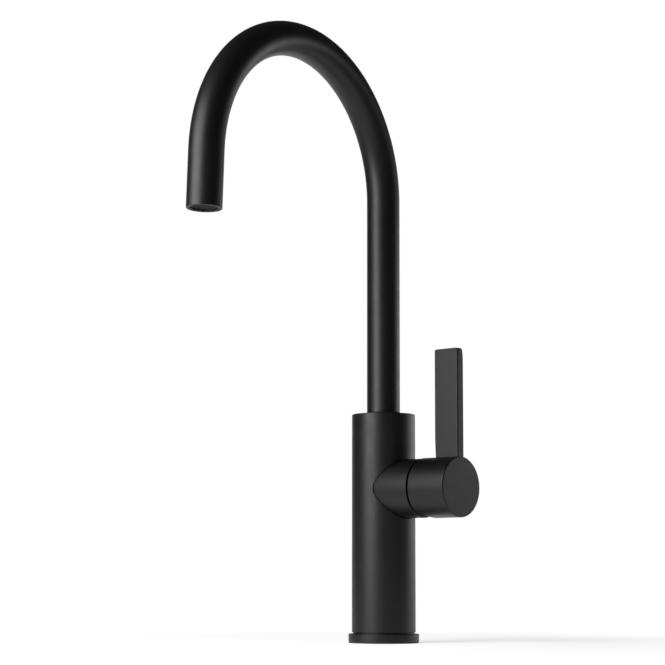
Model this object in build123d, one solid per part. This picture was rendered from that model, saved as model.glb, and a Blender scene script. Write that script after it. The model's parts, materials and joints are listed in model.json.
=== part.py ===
from build123d import *
import math
import os

os.makedirs("parts", exist_ok=True)

# Frame: millimetres, +Z up, handle axis along +X, front of the sink along -Y,
# origin at the centre of the base where it meets the deck.

# Column and base
BODY_D = 45.8
BODY_WALL = 3.2
BODY_TOP_Z = 163.7
TOP_PLATE = 5.0
COLUMN_STEP = 0.8
COLUMN_GAP = 1.0
RING_STEP = 2.4
RING_SHELF = 5.7
RING_H = 6.5
RING_LEDGE = 3.0
SEAL_H = 1.0
SEAL_SET_IN = 0.2
SEAL_EDGE = 2.3
SEAL_DEPTH = 2.0
PLUG_TOP_Z = 24.0

# Deck side connections
STUD_HOLE_D = 6.8
STUD_HOLE_DEPTH = 16.0
STUD_X = 11.0
INLET_HOLE_D = 9.0
INLET_HOLE_DEPTH = 11.0
INLET_X = -5.0
INLET_Y = 8.0
PIPE_D = 8.0
PIPE_BORE = 6.0
PIPE_SOCKET = 8.0

# Spout
TUBE_D = 24.0
TUBE_WALL = 1.5
ARCH_R = 100.0
SPRING_Z = 319.7
SWEEP_DEG = 177.6
OUTLET_LEG = 39.3
SPOUT_REST_TURN = 5.0
SPOUT_HALF_SWING = 60.0
SLIP_RING_WALL = 1.5
FLANGE_Z = 146.0
FLANGE_H = 6.0
FLANGE_PLAY = 0.3
STEM_D = 18.0
STEM_LENGTH = 13.0
STEM_CLEAR = 1.0
FOOT_BORE = 10.0
FOOT_MOUTH = 16.0
FOOT_SPIGOT = 10.0
FOOT_TAPER = 6.0
WASHER_H = 2.0
ORING_SECTION = 2.1
ORING_PLAY = 0.2
ORING_CLEAR = 0.03
ORING_Z = (136.4, 141.2)
STOP_SCREW_D = 5.0
STOP_NOSE_D = 3.5
STOP_NOSE_DEPTH = 2.2
STOP_SIDE_PLAY = 0.2
STOP_HEIGHT_PLAY = 0.3
STOP_END_PLAY = 0.4
STOP_SET_IN = 0.8
BUSH_PROUD = 0.2
BUSH_LIP_H = 1.5
BUSH_LIP_W = 0.3

# Outlet
OUTLET_WALL = 1.0
OUTLET_DEPTH = 12.0
AERATOR_RIM_H = 9.8
AERATOR_RIM_WALL = 1.7
AERATOR_SET_BACK = 0.3
AERATOR_LIP_H = 1.2
AERATOR_LIP_W = 1.0
GRILLE_SET_BACK = 1.0
GRILLE_H = 2.0
GRILLE_RINGS = 3
GRILLE_EDGE = 0.7
GRILLE_OPEN = 0.76
FILTER_WALL = 1.5
FILTER_FLOOR = 1.0
FILTER_HOLE_D = 2.4
FILTER_HOLES = 6
KEY_NOTCHES = 8
KEY_NOTCH_W = 1.6
KEY_NOTCH_H = 1.4

# Valve boss and cartridge, measured along the handle axis
AXIS_Z = 109.4
BOSS_D = 42.0
BOSS_BREAK = 0.3
BOSS_END_X = 38.0
BOSS_SHOULDER_X = 8.5
SEAT_X = 2.0
SPIGOT_D = 34.0
CARTRIDGE_D = 28.0
CARTRIDGE_WALL = 1.7
NECK_D = 22.0
NECK_END_X = 35.0
NUT_D = 33.0
NUT_X = 30.0
NUT_H = 6.0
NUT_GRIP = 0.5
NUT_PLAY = 0.3
CAP_BORE = 21.5
BASE_H = 3.0
FIXED_DISC_H = 3.0
MOVING_DISC_H = 2.5
MOVING_DISC_D = 17.0
CARRIER_TOP_X = 16.3
CARRIER_KEY_TOP_X = 18.2
CARRIER_KEY_W = 9.0
CARRIER_KEY_L = 12.0
ROTOR_D = 20.0
ROTOR_FLANGE_D = 24.0
ROTOR_FOOT_X = 16.5
ROTOR_FLANGE_TOP_X = 19.0
ROTOR_END_X = 35.4
PORT_D = 5.0
PORT_SEAL_D = 8.0
INLET_PORT = (6.0, -3.5)
OUTLET_PORT_DZ = 7.0
MIX_BORE = 7.0
MIX_SET_BACK = 7.0
MIX_HOLLOW_D = 6.0
MIX_HOLLOW_DZ = (4.6, -0.5)
DISC_KEY_DEPTH = 2.0
DISC_KEY_W = 3.0
KEY_ROOT = 0.3
DRIVE_KEY_DEPTH = 1.5
DRIVE_KEY_H = 1.1
CORE_FOOT = 6.0
NUT_SLOT_W = 4.0
NUT_SLOT_DEPTH = 2.0

# Lever mechanism
PIVOT_X = 24.0
PIVOT_PIN_D = 3.0
PIVOT_PIN_FIT = 0.02
PIVOT_PIN_SET_IN = 0.7
TILT_DEG = 20.0
BALL_D = 6.0
BALL_ARM = 10.0
BALL_PLAY = 0.3
SPINDLE_NECK_D = 4.4
PIVOT_BLOCK_H = 8.0
PIVOT_BLOCK_REAR = 4.0
PIVOT_BLOCK_FRONT = 5.0
SWAY_PLAY = 0.7
SWING_PLAY = 0.25
SPINDLE_W = 6.5
SPINDLE_END_X = 57.5
SPINDLE_END_PLAY = 0.5

# Handle
KNOB_D = 42.7
KNOB_GAP = 1.5
KNOB_END_X = 71.3
KNOB_EDGE = 0.9
KNOB_WALL = 3.2
KNOB_FLOOR_X = 57.0
HUB_D = 16.0
HUB_REAR_X = 47.0
GRUB_D = 5.0
GRUB_X = 53.0
HEX_WIDTH = 2.5
HEX_DEPTH = 2.5
GRUB_PLUG_CLEAR = 0.4
RELIEF_SHARE = 0.81
RELIEF_RUN = 9.0
LEVER_W = 20.7
LEVER_T = 7.1
LEVER_SET_BACK = 0.2
LEVER_SINK = 3.0
LEVER_TOP = 97.9
LEVER_WAIST = 0.85
LEVER_WAIST_SHARE = 0.25
LEVER_TIP_BACK = 1.2
LEVER_TIP_RUN = 9.0
LEVER_CORNER = 1.5
LEVER_EDGE = 0.9
TANG_L = 12.0
TANG_T = 4.6
TANG_DEPTH = 7.0

# Clearances
RUN = 0.05
SEAT = 0.1
SEAM = 0.5
SEAM_RUN = 0.6
BREAK = 0.5

# How far a cutter runs past the face it leaves
OVER = 1.0

BODY_R = BODY_D / 2
RING_D = BODY_D + 2 * RING_STEP
RING_BORE_D = BODY_D - 2 * RING_SHELF
BODY_BORE = BODY_D - 2 * BODY_WALL
CORE_D = BODY_BORE - 2 * SEAT
CORE_TOP_Z = BODY_TOP_Z - TOP_PLATE
CORE_FOOT_Z = AXIS_Z - BOSS_D / 2 - CORE_FOOT
BOSS_R = BOSS_D / 2
KNOB_R = KNOB_D / 2
KNOB_REAR_X = BOSS_END_X + KNOB_GAP
TUBE_BORE = TUBE_D - 2 * TUBE_WALL
OUTLET_BORE = TUBE_D - 2 * OUTLET_WALL
STOP_NOSE_R = TUBE_D / 2 - STOP_NOSE_DEPTH
NECK_Z = FLANGE_Z - WASHER_H
STEM_FOOT_Z = FLANGE_Z - STEM_LENGTH
TUBE_FOOT_Z = FLANGE_Z + FLANGE_H
STOP_Z = FLANGE_Z + FLANGE_H / 2
FLANGE_BORE = TUBE_D + 2 * FLANGE_PLAY
FIXED_DISC_X = SEAT_X + BASE_H
MOVING_DISC_X = FIXED_DISC_X + FIXED_DISC_H
CARRIER_X = MOVING_DISC_X + MOVING_DISC_H
BALL_X = PIVOT_X - BALL_ARM
CARTRIDGE_BORE = CARTRIDGE_D - 2 * CARTRIDGE_WALL


def along_z(d, z0, z1, x=0.0, y=0.0):
    """A round bar standing between two heights."""
    return Pos(x, y, (z0 + z1) / 2) * Cylinder(d / 2, z1 - z0)


def along_x(d, x0, x1, y=0.0, dz=0.0):
    """A round bar parallel to the handle axis."""
    return Pos((x0 + x1) / 2, y, AXIS_Z + dz) * Rot(0, 90, 0) * Cylinder(d / 2, x1 - x0)


def block(x0, x1, y0, y1, z0, z1):
    """A square-edged block, with heights taken from the handle axis."""
    size = Box(x1 - x0, y1 - y0, z1 - z0)
    return Pos((x0 + x1) / 2, (y0 + y1) / 2, AXIS_Z + (z0 + z1) / 2) * size


def turned_z(points):
    """A piece turned about the column axis from (radius, height) points."""
    return revolve(Plane.XZ * make_face(Polyline(*points, close=True)), Axis.Z)


def turned_x(points):
    """A piece turned about the handle axis from (station, radius) points."""
    profile = Plane.XZ * make_face(Polyline(*points, close=True))
    return Pos(0, 0, AXIS_Z) * revolve(profile, Axis.X)


def ring_x(d_out, d_in, x0, x1):
    """A plain ring about the handle axis."""
    return along_x(d_out, x0, x1) - along_x(d_in, x0 - OVER, x1 + OVER)


def ring_z(d_out, d_in, z0, z1):
    """A plain ring about the column axis."""
    return along_z(d_out, z0, z1) - along_z(d_in, z0 - OVER, z1 + OVER)


def round_rim(piece, axis, station, radius):
    """The piece with its outermost round edge at a station along an axis rounded."""
    edges = piece.edges().filter_by(GeomType.CIRCLE).filter_by_position(axis, station, station)
    return fillet(edges.sort_by(SortBy.RADIUS)[-1], radius)


def save(node, shape):
    """Write one piece."""
    export_step(shape, f"parts/{node}.step")


# Column: one turned tube, closed at the top around the spout, stepped in where it stands in the base ring
slip_bore = TUBE_D + 2 * SLIP_RING_WALL
column_foot_r = BODY_R - COLUMN_STEP
body_shell = turned_z([
    (BODY_BORE / 2, RING_LEDGE),
    (column_foot_r, RING_LEDGE),
    (column_foot_r, RING_H + COLUMN_GAP),
    (BODY_R, RING_H + COLUMN_GAP),
    (BODY_R, BODY_TOP_Z),
    (slip_bore / 2, BODY_TOP_Z),
    (slip_bore / 2, CORE_TOP_Z),
    (BODY_BORE / 2, CORE_TOP_Z),
])
body_shell = round_rim(body_shell, Axis.Z, BODY_TOP_Z, BREAK)
boss_hole = along_x(BOSS_D + 2 * SEAM, BOSS_SHOULDER_X - SEAM_RUN, BODY_D)
stop_hole = Pos(0, BODY_R / 2, STOP_Z) * Rot(90, 0, 0)
stop_hole *= Cylinder(STOP_SCREW_D / 2 + RUN, BODY_R + 2 * OVER)
body_shell = body_shell - boss_hole - stop_hole
save("body_shell", body_shell)

# Base ring with its ledge under the column, standing on a deck seal whose rib sits in its groove
seal_in = RING_BORE_D / 2 + SEAL_EDGE
seal_out = RING_D / 2 - SEAL_EDGE
base_ring = turned_z([
    (RING_BORE_D / 2, SEAL_H),
    (seal_in, SEAL_H),
    (seal_in, SEAL_DEPTH),
    (seal_out, SEAL_DEPTH),
    (seal_out, SEAL_H),
    (RING_D / 2, SEAL_H),
    (RING_D / 2, RING_H),
    (column_foot_r + SEAT, RING_H),
    (column_foot_r + SEAT, RING_LEDGE),
    (RING_BORE_D / 2, RING_LEDGE),
])
save("base_ring", round_rim(base_ring, Axis.Z, RING_H, BREAK))
base_seal = ring_z(RING_D - 2 * SEAL_SET_IN, RING_BORE_D + 2 * SEAL_SET_IN, 0, SEAL_H)
base_seal += ring_z(2 * (seal_out - SEAT), 2 * (seal_in + SEAT), 0, SEAL_DEPTH)
save("base_seal", base_seal)

# Base plug with the stud thread and both inlet threads
base_plug = along_z(CORE_D, RING_LEDGE, PLUG_TOP_Z)
base_plug -= along_z(STUD_HOLE_D, RING_LEDGE, RING_LEDGE + STUD_HOLE_DEPTH, STUD_X)
inlet_floor = RING_LEDGE + INLET_HOLE_DEPTH
pipe_foot = PLUG_TOP_Z - PIPE_SOCKET
pipe_top = CORE_FOOT_Z + PIPE_SOCKET
for side in (-1, 1):
    y = side * INLET_Y
    base_plug -= along_z(INLET_HOLE_D, RING_LEDGE, inlet_floor, INLET_X, y)
    base_plug -= along_z(PIPE_BORE, inlet_floor, pipe_foot, INLET_X, y)
    base_plug -= along_z(PIPE_D + 2 * SEAT, pipe_foot, PLUG_TOP_Z, INLET_X, y)
save("base_plug", base_plug)

# Inlet pipes from the plug up to the valve core
for side, node in ((-1, "inlet_pipe_front"), (1, "inlet_pipe_rear")):
    pipe = along_z(PIPE_D, pipe_foot, pipe_top, INLET_X, side * INLET_Y)
    pipe -= along_z(PIPE_BORE, pipe_foot - OVER, pipe_top + OVER, INLET_X, side * INLET_Y)
    save(node, pipe)

# Valve core: pocket for the boss, water ways, and the socket the spout turns in
valve_core = along_z(CORE_D, CORE_FOOT_Z, CORE_TOP_Z)
valve_core -= along_x(SPIGOT_D + 2 * RUN, SEAT_X, BOSS_SHOULDER_X)
valve_core -= along_x(BOSS_D + 2 * SEAM, BOSS_SHOULDER_X, BODY_D)
valve_core -= along_z(FLANGE_BORE, NECK_Z, CORE_TOP_Z)
valve_core -= along_z(STEM_D, STEM_FOOT_Z - STEM_CLEAR, NECK_Z)
valve_core -= stop_hole
mix_x = SEAT_X - MIX_SET_BACK
valve_core -= along_z(MIX_BORE, AXIS_Z + OUTLET_PORT_DZ - PORT_D, STEM_FOOT_Z, mix_x)
valve_core -= along_x(PORT_D, mix_x, SEAT_X, 0, OUTLET_PORT_DZ)
for side in (-1, 1):
    y = side * INLET_Y
    port_y = side * INLET_PORT[0]
    valve_core -= along_z(PIPE_D + 2 * SEAT, CORE_FOOT_Z, pipe_top, INLET_X, y)
    valve_core -= along_z(PIPE_BORE, pipe_top, AXIS_Z + INLET_PORT[1] + PORT_D, INLET_X, y)
    valve_core -= along_x(PORT_D, INLET_X - OVER, SEAT_X, port_y, INLET_PORT[1])
save("valve_core", valve_core)

# Valve boss: screwed into the core through the side of the column
valve_boss = turned_x([
    (SEAT_X, CARTRIDGE_D / 2 + SEAT),
    (SEAT_X, SPIGOT_D / 2),
    (BOSS_SHOULDER_X, SPIGOT_D / 2),
    (BOSS_SHOULDER_X, BOSS_R),
    (BOSS_END_X - BOSS_BREAK, BOSS_R),
    (BOSS_END_X, BOSS_R - BOSS_BREAK),
    (BOSS_END_X, NUT_D / 2),
    (NUT_X - NUT_GRIP, NUT_D / 2),
    (NUT_X - NUT_GRIP, CARTRIDGE_D / 2 + SEAT),
])
save("valve_boss", valve_boss)

# Cartridge base with three ports, each with a seal
ports = [(side * INLET_PORT[0], INLET_PORT[1]) for side in (-1, 1)]
ports.append((0.0, OUTLET_PORT_DZ))
seal_h = BASE_H / 2
cartridge_base = along_x(CARTRIDGE_D, SEAT_X, FIXED_DISC_X)
fixed_disc = along_x(CARTRIDGE_BORE - 2 * SEAT, FIXED_DISC_X, MOVING_DISC_X)
port_seals = []
for y, dz in ports:
    cartridge_base -= along_x(PORT_D, SEAT_X, FIXED_DISC_X, y, dz)
    cartridge_base -= along_x(PORT_SEAL_D, SEAT_X, SEAT_X + seal_h, y, dz)
    fixed_disc -= along_x(PORT_D, FIXED_DISC_X, MOVING_DISC_X, y, dz)
    seal = along_x(PORT_SEAL_D - 2 * SEAT, SEAT_X, SEAT_X + seal_h, y, dz)
    port_seals.append(seal - along_x(PORT_D, SEAT_X, SEAT_X + seal_h, y, dz))
save("cartridge_base", cartridge_base)
save("cartridge_seals", Compound(children=port_seals))

# Ceramic discs: the fixed one is keyed to the housing, the moving one carries the mixing hollow
disc_key = CARTRIDGE_BORE / 2 - DISC_KEY_DEPTH
key_half = DISC_KEY_W / 2
slot_half = key_half + SEAT
housing_keys = []
for side in (-1, 1):
    y0, y1 = sorted((side * disc_key, side * CARTRIDGE_BORE))
    fixed_disc -= block(FIXED_DISC_X, MOVING_DISC_X, y0, y1, -slot_half, slot_half)
    k0, k1 = sorted((side * (disc_key + SEAT), side * (CARTRIDGE_BORE / 2 + KEY_ROOT)))
    housing_keys.append(block(FIXED_DISC_X, MOVING_DISC_X - SEAT, k0, k1, -key_half, key_half))
save("fixed_disc", fixed_disc)
mix_depth = MOVING_DISC_H / 2
mix_floor = MOVING_DISC_X + mix_depth
mix_hollow = along_x(MIX_HOLLOW_D, MOVING_DISC_X, mix_floor, 0, MIX_HOLLOW_DZ[0])
mix_hollow += along_x(PORT_D, MOVING_DISC_X, mix_floor, 0, MIX_HOLLOW_DZ[1])
moving_disc = along_x(MOVING_DISC_D, MOVING_DISC_X, CARRIER_X) - mix_hollow
disc_carrier = along_x(MOVING_DISC_D, CARRIER_X, CARRIER_TOP_X)
for side in (-1, 1):
    drive_in = MOVING_DISC_D / 2 - DRIVE_KEY_DEPTH
    y0, y1 = sorted((side * (drive_in - SEAT), side * MOVING_DISC_D))
    moving_disc -= block(CARRIER_X - DRIVE_KEY_H - SEAT, CARRIER_X, y0, y1, -slot_half, slot_half)
    y0, y1 = sorted((side * drive_in, side * (MOVING_DISC_D / 2 - KEY_ROOT)))
    disc_carrier += block(CARRIER_X - DRIVE_KEY_H, CARRIER_X + KEY_ROOT, y0, y1, -key_half, key_half)
save("moving_disc", moving_disc)

# Carrier: guided by the rotor, pushed by the ball of the spindle
key_w = CARRIER_KEY_W / 2
key_l = CARRIER_KEY_L / 2
disc_carrier += block(CARRIER_TOP_X - OVER, CARRIER_KEY_TOP_X, -key_w, key_w, -key_l, key_l)
socket_d = BALL_D + 2 * BALL_PLAY
disc_carrier -= along_x(socket_d, BALL_X - socket_d / 2, CARRIER_KEY_TOP_X + OVER)
tilt = math.radians(TILT_DEG)
neck_room = SPINDLE_NECK_D / 2 + SWAY_PLAY
sway = (CARRIER_KEY_TOP_X - BALL_X) * math.tan(tilt) + neck_room
disc_carrier -= block(
    BALL_X + OVER, CARRIER_KEY_TOP_X + OVER, -socket_d / 2, socket_d / 2, -sway, neck_room
)
save("disc_carrier", disc_carrier)

# Cartridge housing: cavity for the discs, shoulder over the rotor flange, neck through the nut
cartridge_housing = turned_x([
    (FIXED_DISC_X, CARTRIDGE_BORE / 2),
    (FIXED_DISC_X, CARTRIDGE_D / 2),
    (NUT_X, CARTRIDGE_D / 2),
    (NUT_X, NECK_D / 2),
    (NECK_END_X, NECK_D / 2),
    (NECK_END_X, ROTOR_D / 2),
    (ROTOR_FLANGE_TOP_X + SEAT, ROTOR_D / 2),
    (ROTOR_FLANGE_TOP_X + SEAT, CARTRIDGE_BORE / 2),
])
for key in housing_keys:
    cartridge_housing += key
save("cartridge_housing", cartridge_housing)

# Rotor: turns with the handle, slotted so that the spindle can tilt in it
rotor = along_x(ROTOR_FLANGE_D, ROTOR_FOOT_X, ROTOR_FLANGE_TOP_X)
rotor += along_x(ROTOR_D - 2 * RUN, ROTOR_FLANGE_TOP_X - OVER, ROTOR_END_X)
guide_w = key_w + SEAT
guide_top = CARRIER_KEY_TOP_X + 2 * SEAT
rotor -= block(ROTOR_FOOT_X, guide_top, -guide_w, guide_w, -CARTRIDGE_D, CARTRIDGE_D)
slot_w = SPINDLE_W / 2 + SEAT
slot_drop = (ROTOR_END_X - PIVOT_X) * math.tan(tilt) + SPINDLE_W / 2 + SWAY_PLAY
slot_lift = PIVOT_BLOCK_H / 2 * math.cos(tilt) + PIVOT_BLOCK_REAR * math.sin(tilt) + SWAY_PLAY
slot_rest = PIVOT_BLOCK_H / 2 + SWAY_PLAY
rotor -= block(guide_top - OVER, PIVOT_X, -slot_w, slot_w, -slot_rest, slot_lift)
rotor -= block(PIVOT_X - OVER / 2, ROTOR_END_X, -slot_w, slot_w, -slot_drop, slot_rest)
pin_bar = Pos(PIVOT_X, 0, AXIS_Z) * Rot(90, 0, 0)
rotor -= pin_bar * Cylinder(PIVOT_PIN_D / 2 + PIVOT_PIN_FIT, ROTOR_D)
save("rotor", rotor)
save("pivot_pin", pin_bar * Cylinder(PIVOT_PIN_D / 2, ROTOR_D - 2 * PIVOT_PIN_SET_IN))

# Spindle: ball, neck, pivot block and the square that drives the knob
half = SPINDLE_W / 2
spindle = Pos(BALL_X, 0, AXIS_Z) * Sphere(BALL_D / 2)
spindle += along_x(SPINDLE_NECK_D, BALL_X, PIVOT_X)
block_half = PIVOT_BLOCK_H / 2
spindle += block(
    PIVOT_X - PIVOT_BLOCK_REAR, PIVOT_X + PIVOT_BLOCK_FRONT, -half, half, -block_half, block_half
)
spindle += block(PIVOT_X, SPINDLE_END_X, -half, half, -half, half)
spindle -= pin_bar * Cylinder(PIVOT_PIN_D / 2 + RUN, ROTOR_D)
save("spindle", spindle)

# Ring nut with spanner slots, and the cap that hides it behind the knob
cartridge_nut = ring_x(NUT_D - 2 * SEAT, NECK_D + 2 * NUT_PLAY, NUT_X, NUT_X + NUT_H)
nut_top = NUT_X + NUT_H
nut_slot = block(
    nut_top - NUT_SLOT_DEPTH, nut_top, -NUT_SLOT_W / 2, NUT_SLOT_W / 2, NECK_D / 2, NUT_D
)
for turn in range(0, 360, 90):
    about_axis = Pos(0, 0, AXIS_Z) * Rot(turn, 0, 0) * Pos(0, 0, -AXIS_Z)
    cartridge_nut -= about_axis * nut_slot
save("cartridge_nut", cartridge_nut)
save("cartridge_cap", ring_x(NUT_D - 2 * SEAT, CAP_BORE, nut_top, BOSS_END_X))

# Knob: hollow cup whose inner rim is a ball about the pivot, so that it swings over the boss
knob_bore = KNOB_R - KNOB_WALL
swing_r = math.hypot(BOSS_END_X - PIVOT_X, BOSS_R) + SWING_PLAY
rim_r = math.sqrt(swing_r ** 2 - (KNOB_REAR_X - PIVOT_X) ** 2)
ball_end_x = PIVOT_X + math.sqrt(swing_r ** 2 - knob_bore ** 2)
ball_mid_r = (rim_r + knob_bore) / 2
ball_mid_x = PIVOT_X + math.sqrt(swing_r ** 2 - ball_mid_r ** 2)
knob_profile = Polyline(
    (KNOB_REAR_X, rim_r),
    (KNOB_REAR_X, KNOB_R),
    (KNOB_END_X, KNOB_R),
    (KNOB_END_X, 0),
    (KNOB_FLOOR_X, 0),
    (KNOB_FLOOR_X, knob_bore),
    (ball_end_x, knob_bore),
)
ball_rim = ThreePointArc((ball_end_x, knob_bore), (ball_mid_x, ball_mid_r), (KNOB_REAR_X, rim_r))
knob_face = Plane.XZ * make_face(knob_profile + ball_rim)
handle_knob = Pos(0, 0, AXIS_Z) * revolve(knob_face, Axis.X)
for x in (KNOB_REAR_X, KNOB_END_X):
    handle_knob = round_rim(handle_knob, Axis.X, x, KNOB_EDGE)
handle_knob += along_x(HUB_D, HUB_REAR_X, KNOB_FLOOR_X + OVER)
grip = half + RUN
handle_knob -= block(HUB_REAR_X - OVER, SPINDLE_END_X + SPINDLE_END_PLAY, -grip, grip, -grip, grip)

# Relief under the rear of the knob, so that it clears the boss when the lever is pulled out
relief_drop = RELIEF_SHARE * KNOB_R
relief_slope = (KNOB_R - relief_drop) / RELIEF_RUN
relief_end = RELIEF_RUN + 4 * OVER
relief_side = make_face(Polyline(
    (KNOB_REAR_X - OVER, -relief_drop + OVER * relief_slope),
    (KNOB_REAR_X + relief_end, -relief_drop - relief_end * relief_slope),
    (KNOB_REAR_X - OVER, -KNOB_R - 4 * OVER),
    close=True,
))
handle_knob -= Pos(0, 0, AXIS_Z) * extrude(Plane.XZ * relief_side, KNOB_D, both=True)

# Grub screw that grips the spindle, reached through the underside of the knob
grub_bar = Pos(GRUB_X, 0, AXIS_Z - KNOB_R / 2)
handle_knob -= grub_bar * Cylinder(GRUB_D / 2 + RUN, KNOB_R + 2 * OVER)
tang_x0 = KNOB_END_X - LEVER_SET_BACK - LEVER_W / 2 - TANG_L / 2
tang = block(
    tang_x0, tang_x0 + TANG_L, -TANG_T / 2, TANG_T / 2, KNOB_R - TANG_DEPTH, KNOB_R + OVER
)
tang_pocket = block(
    tang_x0 - RUN, tang_x0 + TANG_L + RUN, -TANG_T / 2 - RUN, TANG_T / 2 + RUN,
    KNOB_R - TANG_DEPTH, KNOB_R + OVER,
)
handle_knob -= tang_pocket
save("handle_knob", handle_knob)
grub = Pos(GRUB_X, 0, AXIS_Z - (half + HUB_D / 2) / 2)
handle_grub = grub * Cylinder(GRUB_D / 2, HUB_D / 2 - half)
hex_socket = extrude(RegularPolygon(HEX_WIDTH / 2, 6, major_radius=False), HEX_DEPTH)
handle_grub -= Pos(GRUB_X, 0, AXIS_Z - HUB_D / 2) * hex_socket
save("handle_grub", handle_grub)
plug_bar = Pos(GRUB_X, 0, AXIS_Z - KNOB_R + KNOB_WALL / 2)
plug_bar *= Cylinder(GRUB_D / 2, KNOB_WALL + 2 * OVER)
save("grub_plug", plug_bar & ring_x(KNOB_D, 2 * (knob_bore + GRUB_PLUG_CLEAR), HUB_REAR_X, KNOB_END_X))

# Lever: flat blade, waisted at the root, its tip drawn in at the back
lever_out = KNOB_END_X - LEVER_SET_BACK
lever_in = lever_out - LEVER_W
lever_root = KNOB_R - LEVER_SINK
waist_top = lever_root + (LEVER_TOP - lever_root) * LEVER_WAIST_SHARE
c = LEVER_CORNER
side_edge = [
    Line((lever_in + LEVER_WAIST, lever_root), (lever_out, lever_root)),
    Line((lever_out, lever_root), (lever_out, LEVER_TOP - c)),
    TangentArc((lever_out, LEVER_TOP - c), (lever_out - c, LEVER_TOP), tangent=(0, 1)),
    Line((lever_out - c, LEVER_TOP), (lever_in + c, LEVER_TOP)),
    TangentArc((lever_in + c, LEVER_TOP), (lever_in, LEVER_TOP - c), tangent=(-1, 0)),
    Line((lever_in, LEVER_TOP - c), (lever_in, waist_top)),
    TangentArc((lever_in, waist_top), (lever_in + LEVER_WAIST, lever_root), tangent=(0, -1)),
]
blade = extrude(Plane.XZ * make_face(side_edge), LEVER_T, both=True)
front_y = -LEVER_T / 2
rear_y = LEVER_T / 2
tip_z = LEVER_TOP - LEVER_TIP_RUN
end_edge = [
    Line((front_y, lever_root - OVER), (rear_y, lever_root - OVER)),
    Line((rear_y, lever_root - OVER), (rear_y, tip_z)),
    TangentArc((rear_y, tip_z), (rear_y - LEVER_TIP_BACK, LEVER_TOP + OVER), tangent=(0, 1)),
    Line((rear_y - LEVER_TIP_BACK, LEVER_TOP + OVER), (front_y, LEVER_TOP + OVER)),
    Line((front_y, LEVER_TOP + OVER), (front_y, lever_root - OVER)),
]
thickness = extrude(Plane.YZ * make_face(end_edge), KNOB_END_X + OVER)
blade = Pos(0, 0, AXIS_Z) * (blade & thickness)
blade = fillet(blade.edges().filter_by(Axis.Z), LEVER_EDGE)
handle_lever = blade - along_x(KNOB_D, BOSS_END_X, KNOB_END_X + OVER) + tang
save("handle_lever", handle_lever)

# Spout tube: straight riser, round arch and a short outlet leg
spout_turn = Rot(0, 0, SPOUT_REST_TURN - 90)
riser = Line((0, TUBE_FOOT_Z), (0, SPRING_Z))
arch = CenterArc((ARCH_R, SPRING_Z), ARCH_R, 180, -SWEEP_DEG)
leg = Line(arch @ 1, arch @ 1 + (arch % 1) * OUTLET_LEG)
path = Plane.XZ * (riser + arch + leg)
section = Plane(origin=path @ 0, z_dir=path % 0) * (Circle(TUBE_D / 2) - Circle(TUBE_BORE / 2))
outlet = Plane(origin=path @ 1, x_dir=(0, 1, 0), z_dir=(path % 1) * -1)


def in_outlet(d, h0, h1, x=0.0, y=0.0):
    """A round bar in the outlet, with depths taken from its open end."""
    return outlet * (Pos(x, y, (h0 + h1) / 2) * Cylinder(d / 2, h1 - h0))


spout_tube = sweep(section, path=path) - in_outlet(OUTLET_BORE, -OVER, OUTLET_DEPTH)
save("spout_tube", spout_turn * spout_tube)

# Spout foot: brazed into the tube, turns in the valve core, slotted for the stop screw
stem_r = STEM_D / 2 - RUN
groove_r = STEM_D / 2 - ORING_SECTION - RUN
groove = ORING_SECTION / 2 + ORING_PLAY
spigot_top = TUBE_FOOT_Z + FOOT_SPIGOT
foot_points = [(FOOT_BORE / 2, STEM_FOOT_Z), (stem_r, STEM_FOOT_Z)]
for z in ORING_Z:
    foot_points += [(stem_r, z - groove), (groove_r, z - groove)]
    foot_points += [(groove_r, z + groove), (stem_r, z + groove)]
foot_points += [
    (stem_r, FLANGE_Z),
    (TUBE_D / 2, FLANGE_Z),
    (TUBE_D / 2, TUBE_FOOT_Z),
    (TUBE_BORE / 2 - RUN, TUBE_FOOT_Z),
    (TUBE_BORE / 2 - RUN, spigot_top),
    (FOOT_MOUTH / 2, spigot_top),
    (FOOT_BORE / 2, spigot_top - FOOT_TAPER),
]
nose_deg = math.degrees(math.asin((STOP_NOSE_D / 2 + STOP_SIDE_PLAY) / STOP_NOSE_R))
slot_deg = 2 * (SPOUT_HALF_SWING + nose_deg)
slot_r = STOP_NOSE_R - STOP_END_PLAY
slot_z = STOP_NOSE_D / 2 + STOP_HEIGHT_PLAY
slot_face = Plane.XZ * make_face(Polyline(
    (slot_r, STOP_Z - slot_z),
    (TUBE_D / 2 + OVER, STOP_Z - slot_z),
    (TUBE_D / 2 + OVER, STOP_Z + slot_z),
    (slot_r, STOP_Z + slot_z),
    close=True,
))
stop_slot = Rot(0, 0, 180 - slot_deg / 2) * revolve(slot_face, Axis.Z, slot_deg)
save("spout_foot", spout_turn * (turned_z(foot_points) - stop_slot))
oring_r = STEM_D / 2 - ORING_CLEAR - ORING_SECTION / 2
orings = [Pos(0, 0, z) * Torus(oring_r, ORING_SECTION / 2) for z in ORING_Z]
save("spout_orings", Compound(children=orings))

# Bearings of the spout: a bush in the column top with a wiper lip, and a washer under the flange
bush_r = slip_bore / 2 - RUN
bush_bore_r = TUBE_D / 2 + RUN
spout_bush = turned_z([
    (bush_bore_r, CORE_TOP_Z),
    (bush_r, CORE_TOP_Z),
    (bush_r, BODY_TOP_Z + BUSH_PROUD),
    (bush_bore_r + BUSH_LIP_W, BODY_TOP_Z + BUSH_LIP_H),
    (bush_bore_r, BODY_TOP_Z + BUSH_LIP_H),
])
save("spout_bush", spout_bush)
spout_washer = ring_z(FLANGE_BORE - 2 * SEAT, STEM_D + 2 * SEAT, NECK_Z, FLANGE_Z)
save("spout_washer", spout_washer)

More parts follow.
